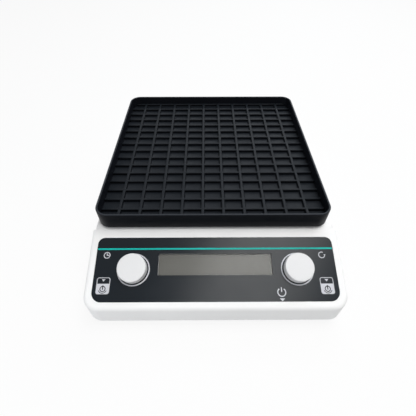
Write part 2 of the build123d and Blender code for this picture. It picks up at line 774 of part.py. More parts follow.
# Outer-rotor motor under its pulley
bell_top = pulley_bottom - 2 * axial_gap
tube_top = bell_top - motor_cap - axial_gap
flange_top = base_top + flange_thickness
bell_bottom = flange_top + motor_lift
bell_inside = motor_diameter / 2 - motor_wall
magnet_inside = bell_inside - magnet_thickness
stator_radius = magnet_inside - motor_air_gap
stator_middle = (bell_bottom + bell_top - motor_cap) / 2
stator_height = bell_top - motor_cap - bell_bottom - 2 * (coil_thickness + coil_gap)
yoke_radius = tube_diameter / 2 + stator_yoke
motor_section = Plane((0, motor_y, 0), x_dir=(1, 0, 0), z_dir=(0, -1, 0))
motor_axis = Axis((0, motor_y, 0), (0, 0, 1))

with BuildPart() as motor_mount:
    with Locations((0, motor_y, base_top)):
        Cylinder(bell_inside, flange_thickness, align=low)
        Cylinder(tube_diameter / 2, tube_top - base_top, align=low)
    with BuildSketch(Plane.XY.offset(base_top + bearing_floor)):
        with Locations((0, motor_y)):
            Circle(motor_bearing_outside / 2 + seat_fit)
    extrude(amount=tube_top - base_top - bearing_floor, mode=Mode.SUBTRACT)
    with BuildSketch(Plane.XY.offset(base_top)):
        with Locations(*motor_screw_places):
            Circle(screw_diameter / 2 + screw_fit)
    extrude(amount=flange_thickness, mode=Mode.SUBTRACT)
save(motor_mount.part, "motor_mount")

with BuildPart() as motor_bearings:
    with Locations((0, motor_y, base_top + bearing_floor),
                   (0, motor_y, tube_top - motor_bearing_width)):
        add(ball_bearing(pin_diameter, motor_bearing_outside, motor_bearing_width))
save(motor_bearings.part, "motor_bearings")

# Laminated stator with one coil on each tooth
tooth_length = stator_radius - tube_diameter / 2
with BuildPart() as motor_stator:
    with BuildSketch(Plane.XY.offset(stator_middle - stator_height / 2)):
        with Locations((0, motor_y)):
            Circle(stator_radius)
            Circle(stator_radius - tooth_tip, mode=Mode.SUBTRACT)
            with PolarLocations(stator_radius, stator_teeth,
                                start_angle=180 / stator_teeth):
                Rectangle(3 * tooth_tip, slot_opening, mode=Mode.SUBTRACT)
            Circle(yoke_radius)
            with PolarLocations(stator_radius - tooth_tip / 2 - tooth_length / 2, stator_teeth):
                Rectangle(tooth_length - tooth_tip, tooth_width)
            Circle(tube_diameter / 2 + seat_fit, mode=Mode.SUBTRACT)
    extrude(amount=stator_height)
save(motor_stator.part, "motor_stator")

coil_inside = yoke_radius + coil_clearance
coil_half = tooth_width / 2 + coil_thickness
coil_outside = ((stator_radius - tooth_tip) ** 2 - coil_half ** 2) ** 0.5 - coil_clearance
coil_length = coil_outside - coil_inside
with BuildPart() as motor_windings:
    with Locations((0, motor_y, stator_middle)):
        with PolarLocations((coil_inside + coil_outside) / 2, stator_teeth):
            Box(coil_length, 2 * coil_half, stator_height + 2 * coil_thickness)
            Box(coil_length, tooth_width + 2 * coil_clearance, stator_height + 2 * coil_clearance,
                mode=Mode.SUBTRACT)
save(motor_windings.part, "motor_windings")

with BuildPart() as motor_rotor:
    with BuildSketch(motor_section):
        with BuildLine():
            Polyline((0, base_top + bearing_floor + axial_gap),
                     (pin_diameter / 2, base_top + bearing_floor + axial_gap),
                     (pin_diameter / 2, bell_top - motor_cap), (bell_inside, bell_top - motor_cap),
                     (bell_inside, bell_bottom), (motor_diameter / 2, bell_bottom),
                     (motor_diameter / 2, bell_top), (pin_diameter / 2, bell_top),
                     (pin_diameter / 2, pulley_top), (0, pulley_top), close=True)
        make_face()
    revolve(axis=motor_axis)
    # Air slots in the bell's cap
    with BuildSketch(Plane.XY.offset(bell_top - motor_cap)):
        with Locations((0, motor_y)):
            with PolarLocations((stator_radius + tube_diameter / 2) / 2, bell_slots):
                SlotOverall(bell_slot_length, bell_slot_width)
    extrude(amount=motor_cap, mode=Mode.SUBTRACT)
save(motor_rotor.part, "motor_rotor")

with BuildPart() as motor_magnets:
    with BuildSketch(Plane.XY.offset(stator_middle - stator_height / 2)):
        with Locations((0, motor_y)):
            Circle(bell_inside)
            Circle(magnet_inside, mode=Mode.SUBTRACT)
            with PolarLocations(bell_inside, magnet_count):
                Rectangle(3 * magnet_thickness, magnet_gap, mode=Mode.SUBTRACT)
    extrude(amount=stator_height)
save(motor_magnets.part, "motor_magnets")

with BuildPart() as motor_pulley:
    with BuildSketch(motor_section):
        bore = pin_diameter / 2 + seat_fit
        lip = motor_pulley_radius + pulley_flange
        with BuildLine():
            Polyline((bore, pulley_bottom), (lip, pulley_bottom),
                     (lip, pulley_bottom + flange_lip),
                     (motor_pulley_radius, pulley_bottom + flange_lip),
                     (motor_pulley_radius, pulley_top - flange_lip), (lip, pulley_top - flange_lip),
                     (lip, pulley_top), (bore, pulley_top), close=True)
        make_face()
    revolve(axis=motor_axis)
save(motor_pulley.part, "motor_pulley")

belt_bottom = pulley_bottom + flange_lip + 2 * belt_clearance
belt_top = pulley_top - flange_lip - 2 * belt_clearance
with BuildPart() as drive_belt:
    with BuildSketch(Plane.XY.offset(belt_bottom)):
        with BuildSketch():
            with Locations((0, orbit_centre_y)):
                Circle(driven_pulley_radius + belt_clearance + belt_thickness)
            with Locations((0, motor_y)):
                Circle(motor_pulley_radius + belt_clearance + belt_thickness)
            make_hull()
        with BuildSketch(mode=Mode.SUBTRACT):
            with Locations((0, orbit_centre_y)):
                Circle(driven_pulley_radius + belt_clearance)
            with Locations((0, motor_y)):
                Circle(motor_pulley_radius + belt_clearance)
            make_hull()
    extrude(amount=belt_top - belt_bottom)
save(drive_belt.part, "drive_belt")

# Control panel: a film over the slope, with a window for the display
with BuildPart() as control_overlay:
    with BuildSketch(panel.offset(-overlay_thickness)) as film:
        Rectangle(overlay_width, overlay_height)
        fillet(film.vertices().group_by(Axis.Y)[0], overlay_bottom_radius)
        fillet(film.vertices().group_by(Axis.Y)[-1], overlay_top_radius)
        with Locations((0, window_rise)):
            Rectangle(window_width, window_height, mode=Mode.SUBTRACT)
        with Locations((-knob_offset, knob_rise), (knob_offset, knob_rise)):
            Circle(bushing_diameter / 2 + overlay_fit, mode=Mode.SUBTRACT)
    extrude(amount=overlay_thickness)
save(control_overlay.part, "control_overlay")

glass_width = window_width + 2 * lens_margin
glass_height = window_height + 2 * lens_margin
with BuildPart() as display_lens:
    with BuildSketch(panel.offset(-overlay_thickness - lens_thickness)):
        with Locations((0, window_rise)):
            Rectangle(glass_width, glass_height)
    extrude(amount=lens_thickness)
save(display_lens.part, "display_lens")

display_top = -housing_wall - display_gap
with BuildPart() as display_module:
    with BuildSketch(panel.offset(display_top)):
        with Locations((0, window_rise)):
            Rectangle(glass_width, glass_height)
    extrude(amount=-display_thickness)
    # Its glass stands up into the window, just behind the lens
    with BuildSketch(panel.offset(display_top)):
        with Locations((0, window_rise)):
            Rectangle(window_width - 2 * display_gap, window_height - 2 * display_gap)
    extrude(amount=housing_wall - overlay_thickness - lens_thickness)
save(display_module.part, "display_module")

frame_margin = 2 * (display_frame_wall + overlay_fit)
with BuildPart() as display_frame:
    with BuildSketch(panel.offset(-board_depth)):
        with Locations((0, window_rise)):
            Rectangle(glass_width + frame_margin, glass_height + frame_margin)
            Rectangle(window_width, window_height, mode=Mode.SUBTRACT)
    extrude(amount=board_depth + display_top)
    with BuildSketch(panel.offset(display_top)):
        with Locations((0, window_rise)):
            Rectangle(glass_width + 2 * overlay_fit, glass_height + 2 * overlay_fit)
    extrude(amount=-display_thickness, mode=Mode.SUBTRACT)
save(display_frame.part, "display_frame")

board_back = -board_depth - board_thickness
with BuildPart() as control_board:
    with BuildSketch(panel.offset(board_back)):
        Rectangle(board_width, board_height)
        with Locations(*board_holes):
            Circle(screw_diameter / 2 + screw_fit, mode=Mode.SUBTRACT)
    extrude(amount=board_thickness)
    # Processor and two plug sockets on the underside
    with BuildSketch(panel.offset(board_back)):
        Rectangle(processor_size, processor_size)
        with Locations((-socket_spread / 2, -socket_drop), (socket_spread / 2, -socket_drop)):
            Rectangle(socket_width, socket_depth)
    extrude(amount=-underside_height)
save(control_board.part, "control_board")

with BuildPart() as control_board_screws:
    with Locations(*[panel.offset(board_back).location * Location((x, y, 0))
                     for x, y in board_holes]):
        add(pan_screw(board_thickness + screw_bite))
save(control_board_screws.part, "control_board_screws")

# One push-turn encoder and knob on each side of the display
encoder_inside = encoder_size / 2 - encoder_wall
shaft_bore = encoder_shaft_diameter / 2 + running_fit
rotor_bottom = -board_depth + rotor_lift
shaft_bottom = -board_depth + push_travel + push_clearance
shaft_top = knob_height - knob_top
for name, x in (("time", -knob_offset), ("speed", knob_offset)):
    place = (x, knob_rise)
    with BuildPart() as encoder_body:
        with BuildSketch(panel.offset(-board_depth)):
            with Locations(place):
                Rectangle(encoder_size, encoder_size)
        extrude(amount=encoder_height)
        with BuildSketch(panel.offset(-board_depth)):
            with Locations(place):
                Circle(bushing_diameter / 2)
        extrude(amount=board_depth + bushing_rise)
        with BuildSketch(panel.offset(-board_depth)):
            with Locations(place):
                Circle(encoder_inside)
        extrude(amount=encoder_height - encoder_wall, mode=Mode.SUBTRACT)
        with BuildSketch(panel.offset(-board_depth)):
            with Locations(place):
                Circle(shaft_bore)
        extrude(amount=board_depth + bushing_rise, mode=Mode.SUBTRACT)
    save(encoder_body.part, f"{name}_encoder_body")

    with BuildPart() as encoder_rotor:
        with BuildSketch(panel.offset(rotor_bottom)):
            with Locations(place):
                Circle(encoder_inside - display_gap)
                Circle(shaft_bore, mode=Mode.SUBTRACT)
        extrude(amount=rotor_height)
    save(encoder_rotor.part, f"{name}_encoder_rotor")

    with BuildPart() as encoder_shaft:
        with BuildSketch(panel.offset(shaft_bottom)):
            with Locations(place):
                Circle(encoder_shaft_diameter / 2)
        extrude(amount=shaft_top - shaft_bottom)
    save(encoder_shaft.part, f"{name}_encoder_shaft")

    with BuildPart() as knob:
        with BuildSketch(panel.offset(knob_gap)):
            with Locations(place):
                Circle(knob_diameter / 2)
        extrude(amount=knob_height - knob_gap)
        fillet(knob.edges().filter_by(GeomType.CIRCLE).sort_by(Axis(panel.origin, panel.z_dir))[-1],
               knob_edge)
        with BuildSketch(panel.offset(knob_gap)):
            with Locations(place):
                Circle(knob_diameter / 2 - knob_wall)
        extrude(amount=knob_height - knob_cap - knob_gap, mode=Mode.SUBTRACT)
        with BuildSketch(panel.offset(knob_gap)):
            with Locations(place):
                Circle(encoder_shaft_diameter / 2 + seat_fit)
        extrude(amount=shaft_top - knob_gap, mode=Mode.SUBTRACT)
    save(knob.part, f"{name}_knob")

with BuildPart() as encoder_nuts:
    with BuildSketch(panel):
        with Locations((-knob_offset, knob_rise), (knob_offset, knob_rise)):
            RegularPolygon(nut_width / 2, 6, major_radius=False)
            Circle(bushing_diameter / 2 + screw_fit, mode=Mode.SUBTRACT)
    extrude(amount=nut_thickness)
save(encoder_nuts.part, "encoder_nuts")

# Power key under the film, resting in its switch on the board
key_place = (key_offset, key_rise)
switch_top = -board_depth + switch_height
with BuildPart() as power_switch:
    with BuildSketch(panel.offset(-board_depth)):
        with Locations(key_place):
            Rectangle(switch_size, switch_size)
    extrude(amount=switch_height)
    with BuildSketch(panel.offset(switch_top)):
        with Locations(key_place):
            Circle(key_stem / 2 + display_gap)
    extrude(amount=-switch_well, mode=Mode.SUBTRACT)
save(power_switch.part, "power_switch")

key_top = -overlay_thickness - key_gap
key_bottom = switch_top - switch_well + 2 * key_travel
with BuildPart() as power_key:
    with BuildSketch(panel.offset(key_top)):
        with Locations(key_place):
            Circle(key_diameter / 2)
    extrude(amount=-key_cap)
    with BuildSketch(panel.offset(key_top)):
        with Locations(key_place):
            Circle(key_stem / 2)
    extrude(amount=key_bottom - key_top)
save(power_key.part, "power_key")

# Motor driver board on the plate's standoffs, with the power inlet in the rear wall
with BuildPart() as driver_board:
    with BuildSketch(Plane.XY.offset(driver_bottom)):
        with Locations((0, driver_y)):
            Rectangle(driver_width, driver_length)
        with Locations(*driver_screw_places):
            Circle(screw_diameter / 2 + screw_fit, mode=Mode.SUBTRACT)
    extrude(amount=board_thickness)
    with Locations((-driver_width / 4, driver_y - driver_length / 6, driver_top),
                   (-driver_width / 4 + capacitor_pitch, driver_y - driver_length / 6, driver_top)):
        Cylinder(capacitor_diameter / 2, capacitor_height, align=low)
    # Finned heat sink over the output stage
    with Locations((heat_sink_x, driver_y, driver_top)):
        Box(heat_sink_width, heat_sink_depth, heat_sink_height, align=low)
    with Locations((heat_sink_x, driver_y, driver_top + heat_sink_height)):
        with GridLocations(fin_pitch, 0, heat_sink_fins, 1):
            Box(fin_pitch / 2, heat_sink_depth, heat_sink_height - fin_root,
                align=(Align.CENTER, Align.CENTER, Align.MAX), mode=Mode.SUBTRACT)
save(driver_board.part, "driver_board")
driver_screw = pan_screw(board_thickness + driver_standoff)
save(screw_group(driver_screw, driver_screw_places, driver_top, turn=180), "driver_board_screws")

jack_back = back_y - inlet_depth - jack_recess
with BuildPart() as dc_jack:
    with Locations((jack_offset, jack_back, jack_level)):
        Box(jack_width, jack_length, jack_height, align=(Align.CENTER, Align.MAX, Align.CENTER))
    with BuildSketch(Plane.XZ.offset(-jack_back)):
        with Locations((jack_offset, jack_level)):
            Circle(jack_bore / 2)
            Circle(jack_pin / 2, mode=Mode.SUBTRACT)
    extrude(amount=jack_depth, mode=Mode.SUBTRACT)
save(dc_jack.part, "dc_jack")
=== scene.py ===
import json
from math import cos, pi, radians, sin

import bmesh
import bpy
from mathutils import Matrix, Vector


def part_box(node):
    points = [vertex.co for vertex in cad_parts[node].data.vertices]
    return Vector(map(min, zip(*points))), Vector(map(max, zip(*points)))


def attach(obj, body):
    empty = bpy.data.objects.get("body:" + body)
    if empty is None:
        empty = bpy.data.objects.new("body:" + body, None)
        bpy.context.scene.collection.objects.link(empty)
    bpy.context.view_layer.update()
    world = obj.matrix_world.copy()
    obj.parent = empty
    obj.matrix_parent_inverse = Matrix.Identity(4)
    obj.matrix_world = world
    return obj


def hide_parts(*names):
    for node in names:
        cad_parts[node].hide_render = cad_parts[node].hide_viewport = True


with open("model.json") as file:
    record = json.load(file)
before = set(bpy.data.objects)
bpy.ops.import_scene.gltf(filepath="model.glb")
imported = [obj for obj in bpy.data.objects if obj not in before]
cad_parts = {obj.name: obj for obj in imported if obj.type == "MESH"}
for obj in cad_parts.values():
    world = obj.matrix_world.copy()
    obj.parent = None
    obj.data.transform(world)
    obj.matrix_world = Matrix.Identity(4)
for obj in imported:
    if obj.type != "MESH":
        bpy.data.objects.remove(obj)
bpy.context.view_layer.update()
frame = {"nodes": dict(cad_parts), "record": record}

# The looks of a compact digital orbital shaker: a white two-part housing with a charcoal
# control film, two push-turn knobs and a black tray with a ribbed rubber mat.
scene = bpy.context.scene
mm = 0.001
weld = 0.0001    # millimetres: vertices this close are one
hair = mm / 100  # metres: lengths that differ by less count as equal


def screenColour(red, green, blue):  # 0 to 255 as seen on a screen, to linear light
    def toLinear(value):
        share = value / 255
        return share / 12.92 if share <= 0.04045 else ((share + 0.055) / 1.055) ** 2.4
    return toLinear(red), toLinear(green), toLinear(blue), 1.0


def grey(level):
    return screenColour(level, level, level)


white, black = grey(255), grey(0)


def feed(links, socket, value):  # a value to set, or another node's output to follow
    if isinstance(value, bpy.types.NodeSocket):
        links.new(value, socket)
    else:
        socket.default_value = value


def mathNode(nodes, links, operation, first, second):
    node = nodes.new("ShaderNodeMath")
    node.operation = operation
    feed(links, node.inputs[0], first)
    feed(links, node.inputs[1], second)
    return node.outputs[0]


def mixShaders(nodes, links, factor, first, second):
    blend = nodes.new("ShaderNodeMixShader")
    for socket, source in zip(blend.inputs, (factor, first, second)):
        links.new(source, socket)
    return blend.outputs[0]


def finishPiece(bm, name, material, place=None, smoothAngle=30):
    # a bmesh becomes an object at the origin, with its place in its mesh
    if place is not None:
        bmesh.ops.transform(bm, matrix=place, verts=bm.verts)
    for face in bm.faces:
        face.smooth = True
    for edge in bm.edges:
        if len(edge.link_faces) == 2:
            edge.smooth = edge.calc_face_angle(pi) < radians(smoothAngle)
    mesh = bpy.data.meshes.new(name)
    bm.to_mesh(mesh)
    bm.free()
    mesh.materials.append(material)
    piece = bpy.data.objects.new(name, mesh)
    scene.collection.objects.link(piece)
    return piece


def stand(piece, body, slotName, *nodes):
    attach(piece, body)
    if nodes:
        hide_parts(*nodes)


cameraSetup = {
    "place": (-0.0075, -0.2619, 0.2843),
    "lookDown": 47.5,   # degrees below the horizon
    "turn": -0.28,      # degrees to the left of straight ahead
    "lens": 26.27,
    "sensor": 36.0,
    "clip": (0.01, 20.0),
}


def makeCamera():
    data = bpy.data.cameras.new("camera")
    data.lens = cameraSetup["lens"]
    data.sensor_width = cameraSetup["sensor"]
    data.clip_start, data.clip_end = cameraSetup["clip"]
    camera = bpy.data.objects.new("camera", data)
    camera.location = cameraSetup["place"]
    fromStraightDown = 90 - cameraSetup["lookDown"]
    camera.rotation_euler = (radians(fromStraightDown), 0, radians(cameraSetup["turn"]))
    scene.collection.objects.link(camera)
    scene.camera = camera


makeCamera()


studio = {
    "worldLight": 0.30,
    "backdropLight": 1.0,  # plain white
    "floorColour": grey(228), "floorRough": 0.9, "floorSpecular": 0.1,
    "floorReach": 4.0,
    "floorWhite": 0.88,    # share of plain white in what the camera and glossy surfaces see
    "lamps": {
        # name: place, aimed at, width, depth, watts, colour
        "keySoftbox": ((0.28, -0.16, 1.24), (0, -0.04, 0.05), 1.0, 0.50, 11.9, (1.0, 1.0, 0.99)),
        "frontFill": ((-0.50, -0.52, 0.16), (0, -0.12, 0.03), 0.4, 0.3, 0.85, (0.90, 0.94, 1.0)),
        "rearSoftbox": ((0.40, 1.00, 1.02), (0, 0.05, 0.06), 1.0, 0.8, 8.0, (0.88, 0.94, 1.0)),
    },
}


def makeLamp(name, place, target, width, depth, watts, colour):
    data = bpy.data.lights.new(name, "AREA")
    data.shape = "RECTANGLE"
    data.size = width
    data.size_y = depth
    data.energy = watts
    data.color = colour
    lamp = bpy.data.objects.new(name, data)
    lamp.location = place
    lamp.rotation_euler = (Vector(target) - Vector(place)).to_track_quat("-Z", "Y").to_euler()
    scene.collection.objects.link(lamp)


def seenDirectly(nodes, links):  # 1 for camera, glossy and transmission rays
    path = nodes.new("ShaderNodeLightPath")
    total = path.outputs["Is Camera Ray"]
    for title in ("Is Glossy Ray", "Is Transmission Ray"):
        total = mathNode(nodes, links, "MAXIMUM", total, path.outputs[title])
    return total


def makeWorld():
    world = bpy.data.worlds.new("paleRoom")
    world.use_nodes = True
    nodes, links = world.node_tree.nodes, world.node_tree.links
    nodes.clear()
    layers = []
    for strength in (studio["worldLight"], studio["backdropLight"]):
        layer = nodes.new("ShaderNodeBackground")
        layer.inputs["Color"].default_value = white
        layer.inputs["Strength"].default_value = strength
        layers.append(layer.outputs[0])
    output = nodes.new("ShaderNodeOutputWorld")
    links.new(mixShaders(nodes, links, seenDirectly(nodes, links), *layers),
              output.inputs["Surface"])
    scene.world = world


def makeFloor():
    material = bpy.data.materials.new("paleFloor")
    material.use_nodes = True
    nodes, links = material.node_tree.nodes, material.node_tree.links
    shader = nodes["Principled BSDF"]
    shader.inputs["Base Color"].default_value = studio["floorColour"]
    shader.inputs["Roughness"].default_value = studio["floorRough"]
    shader.inputs["Specular IOR Level"].default_value = studio["floorSpecular"]
    backdrop = nodes.new("ShaderNodeEmission")
    backdrop.inputs["Color"].default_value = white
    backdrop.inputs["Strength"].default_value = studio["backdropLight"]
    share = mathNode(nodes, links, "MULTIPLY", seenDirectly(nodes, links), studio["floorWhite"])
    links.new(mixShaders(nodes, links, share, shader.outputs[0], backdrop.outputs[0]),
              nodes["Material Output"].inputs["Surface"])
    bm = bmesh.new()
    bmesh.ops.create_grid(bm, x_segments=2, y_segments=2, size=studio["floorReach"])
    floor = finishPiece(bm, "floor", material)


scene.view_settings.view_transform = "Standard"
makeWorld()
makeFloor()
for lampName, lampValues in studio["lamps"].items():
    makeLamp(lampName, *lampValues)
print("camera and studio ready")


def newGroup(name, inputs, outputs):
    group = bpy.data.node_groups.new(name, "ShaderNodeTree")
    for title, kind, value in inputs:
        socket = group.interface.new_socket(title, in_out="INPUT", socket_type=kind)
        if value is not None:
            socket.default_value = value
    for title, kind in outputs:
        group.interface.new_socket(title, in_out="OUTPUT", socket_type=kind)
    nodes = group.nodes
    return group, nodes, group.links, nodes.new("NodeGroupInput"), nodes.new("NodeGroupOutput")


def noiseNode(nodes, links, vector, scale, detail=3.0, roughness=0.5):
    noise = nodes.new("ShaderNodeTexNoise")
    noise.inputs["Detail"].default_value = detail
    noise.inputs["Roughness"].default_value = roughness
    links.new(vector, noise.inputs["Vector"])
    feed(links, noise.inputs["Scale"], scale)
    return noise.outputs["Fac"]


def spread(nodes, links, value, low=0.0, high=1.0, fromLow=0.3, fromHigh=0.7):
    # stretches the middle of a noise, or another range, to low and high
    ramp = nodes.new("ShaderNodeMapRange")
    for title, end in (("Value", value), ("From Min", fromLow), ("From Max", fromHigh),
                       ("To Min", low), ("To Max", high)):
        feed(links, ramp.inputs[title], end)
    return ramp.outputs["Result"]


def mixColour(nodes, links, factor, first, second):
    node = nodes.new("ShaderNodeMix")
    node.data_type = "RGBA"
    for number, value in ((0, factor), (6, first), (7, second)):  # the sockets in colour mode
        feed(links, node.inputs[number], value)
    return node.outputs[2]


grainValues = {
    "pitShare": 0.5,     # how much the round pits add to the fine noise
    "driftScale": 14.0,  # slow changes of shade
    "smearScale": 55.0,  # changes of gloss
}


def makeMouldGrain():
    # spark-eroded grain of a moulding: fine pits, a slow drift of shade and of gloss
    group, nodes, links, given, result = newGroup(
        "mouldGrain",
        [("Vector", "NodeSocketVector", None), ("Colour", "NodeSocketColor", None),
         ("Grain Scale", "NodeSocketFloat", 2200.0), ("Drift", "NodeSocketFloat", 0.04),
         ("Gloss Low", "NodeSocketFloat", 0.4), ("Gloss High", "NodeSocketFloat", 0.5)],
        [("Colour", "NodeSocketColor"), ("Roughness", "NodeSocketFloat"),
         ("Height", "NodeSocketFloat")])
    where, scale, colour = (given.outputs[title] for title in ("Vector", "Grain Scale", "Colour"))
    fine = noiseNode(nodes, links, where, scale, detail=2.0, roughness=0.6)
    pits = nodes.new("ShaderNodeTexVoronoi")
    links.new(where, pits.inputs["Vector"])
    links.new(scale, pits.inputs["Scale"])
    pitDepth = mathNode(nodes, links, "MULTIPLY", pits.outputs["Distance"],
                        grainValues["pitShare"])
    height = mathNode(nodes, links, "ADD", fine, pitDepth)
    slow = noiseNode(nodes, links, where, grainValues["driftScale"], detail=2.0)
    darker = mixColour(nodes, links, given.outputs["Drift"], colour, black)
    shade = mixColour(nodes, links, spread(nodes, links, slow), colour, darker)
    smear = noiseNode(nodes, links, where, grainValues["smearScale"], detail=4.0, roughness=0.6)
    links.new(shade, result.inputs["Colour"])
    links.new(spread(nodes, links, smear, given.outputs["Gloss Low"], given.outputs["Gloss High"]),
              result.inputs["Roughness"])
    links.new(height, result.inputs["Height"])
    return group


dustAndSheenValues = {
    "lowestSlope": 0.2,        # a normal's upward share where the dust and the painted sheen begin
    "speckScale": 900.0, "speckRange": (0.52, 0.78),
    "veilScale": 30.0, "thinnest": 0.35,
}


def makeDustAndPaintedSheen():
    # pale dust on faces that look up, thin and broken, and an even haze that is painted sheen:
    # faces that look up are drawn lighter, as light from above would make them
    group, nodes, links, given, result = newGroup(
        "dustAndPaintedSheen",
        [("Vector", "NodeSocketVector", None), ("Normal", "NodeSocketVector", None),
         ("Colour", "NodeSocketColor", None), ("Dust And Sheen Colour", "NodeSocketColor", None),
         ("Amount", "NodeSocketFloat", 0.1), ("Evenness", "NodeSocketFloat", 0.0)],
        [("Colour", "NodeSocketColor")])
    split = nodes.new("ShaderNodeSeparateXYZ")
    links.new(given.outputs["Normal"], split.inputs[0])
    upward = spread(nodes, links, split.outputs["Z"], fromLow=dustAndSheenValues["lowestSlope"],
                    fromHigh=1.0)
    where = given.outputs["Vector"]
    specks = noiseNode(nodes, links, where, dustAndSheenValues["speckScale"], detail=5.0, roughness=0.75)
    specks = spread(nodes, links, specks, 0.0, 1.0, *dustAndSheenValues["speckRange"])
    veil = noiseNode(nodes, links, where, dustAndSheenValues["veilScale"])
    veil = spread(nodes, links, veil, low=dustAndSheenValues["thinnest"])
    patches = mathNode(nodes, links, "MULTIPLY", specks, veil)
    # the even haze is painted sheen on faces that look up, not dust
    paintedHaze = mathNode(nodes, links, "MULTIPLY", given.outputs["Evenness"],
                    mathNode(nodes, links, "SUBTRACT", 1.0, patches))
    mask = mathNode(nodes, links, "MULTIPLY", upward, mathNode(nodes, links, "ADD", patches, paintedHaze))
    mask = mathNode(nodes, links, "MULTIPLY", mask, given.outputs["Amount"])
    links.new(mixColour(nodes, links, mask, given.outputs["Colour"], given.outputs["Dust And Sheen Colour"]),
              result.inputs["Colour"])
    return group


deepestCut = (0.1, 0.1, 0.11, 1)  # the colour that cut lines darken towards


def makeCutLines():
    # the fine lines that a tool leaves: stretched noise, for turned, ground and brushed metal
    group, nodes, links, given, result = newGroup(
        "cutLines",
        [("Vector", "NodeSocketVector", None), ("Stretch", "NodeSocketVector", (1.0, 1.0, 1.0)),
         ("Colour", "NodeSocketColor", None), ("Roughness", "NodeSocketFloat", 0.3),
         ("Depth", "NodeSocketFloat", 0.1)],
        [("Colour", "NodeSocketColor"), ("Roughness", "NodeSocketFloat"),
         ("Height", "NodeSocketFloat")])
    squeeze = nodes.new("ShaderNodeVectorMath")
    squeeze.operation = "MULTIPLY"
    links.new(given.outputs["Vector"], squeeze.inputs[0])
    links.new(given.outputs["Stretch"], squeeze.inputs[1])
    lines = noiseNode(nodes, links, squeeze.outputs[0], 1.0, detail=4.0, roughness=0.7)
    darker = mixColour(nodes, links, given.outputs["Depth"], given.outputs["Colour"], deepestCut)
    shade = mixColour(nodes, links, spread(nodes, links, lines), given.outputs["Colour"], darker)
    links.new(shade, result.inputs["Colour"])
    rougher = mathNode(nodes, links, "ADD", given.outputs["Roughness"], given.outputs["Depth"])
    links.new(spread(nodes, links, lines, given.outputs["Roughness"], rougher),
              result.inputs["Roughness"])
    links.new(lines, result.inputs["Height"])
    return group


mouldGrain = makeMouldGrain()
dustAndPaintedSheen = makeDustAndPaintedSheen()
cutLines = makeCutLines()


def newMaterial(name):
    material = bpy.data.materials.new(name)
    material.use_nodes = True
    nodes = material.node_tree.nodes
    coordinates = nodes.new("ShaderNodeTexCoord").outputs["Object"]
    return material, nodes, material.node_tree.links, nodes["Principled BSDF"], coordinates


def placeGroup(nodes, links, group, values):
    node = nodes.new("ShaderNodeGroup")
    node.node_tree = group
    for title, value in values.items():
        feed(links, node.inputs[title], value)
    return node


def bumpFrom(nodes, links, shader, height, strength, distance):
    bump = nodes.new("ShaderNodeBump")
    bump.inputs["Strength"].default_value = strength
    bump.inputs["Distance"].default_value = distance
    links.new(height, bump.inputs["Height"])
    links.new(bump.outputs["Normal"], shader.inputs["Normal"])


def grainOf(nodes, links, where, values):
    return placeGroup(nodes, links, mouldGrain, {
        "Vector": where, "Colour": values["colour"], "Grain Scale": values["grain"],
        "Drift": values["drift"],
        "Gloss Low": values["rough"][0], "Gloss High": values["rough"][1]})


def coatWith(nodes, links, shader, grain, values):  # gloss, shine and relief from a grain
    links.new(grain.outputs["Roughness"], shader.inputs["Roughness"])
    shader.inputs["Specular IOR Level"].default_value = values["specular"]
    bumpFrom(nodes, links, shader, grain.outputs["Height"], values["bump"], values["pit"])


def mouldedPlastic(name, values):
    material, nodes, links, shader, where = newMaterial(name)
    grain = grainOf(nodes, links, where, values)
    surface = nodes.new("ShaderNodeNewGeometry")
    # dust on faces that look up; on the tray and the mat also a painted sheen that lightens them
    dustAndSheen = placeGroup(nodes, links, dustAndPaintedSheen, {
        "Vector": where, "Normal": surface.outputs["Normal"], "Colour": grain.outputs["Colour"],
        "Dust And Sheen Colour": values["dustAndSheenColour"], "Amount": values["dustAndSheen"],
        "Evenness": values.get("paintedSheenHaze", 0.0)})
    links.new(dustAndSheen.outputs["Colour"], shader.inputs["Base Color"])
    coatWith(nodes, links, shader, grain, values)
    return material


def cutMetal(name, values):
    material, nodes, links, shader, where = newMaterial(name)
    lines = placeGroup(nodes, links, cutLines, {
        "Vector": where, "Stretch": values["stretch"], "Colour": values["colour"],
        "Roughness": values["rough"], "Depth": values["depth"]})
    links.new(lines.outputs["Colour"], shader.inputs["Base Color"])
    links.new(lines.outputs["Roughness"], shader.inputs["Roughness"])
    shader.inputs["Metallic"].default_value = values["metallic"]
    bumpFrom(nodes, links, shader, lines.outputs["Height"], values["bump"], toolMark)
    return material


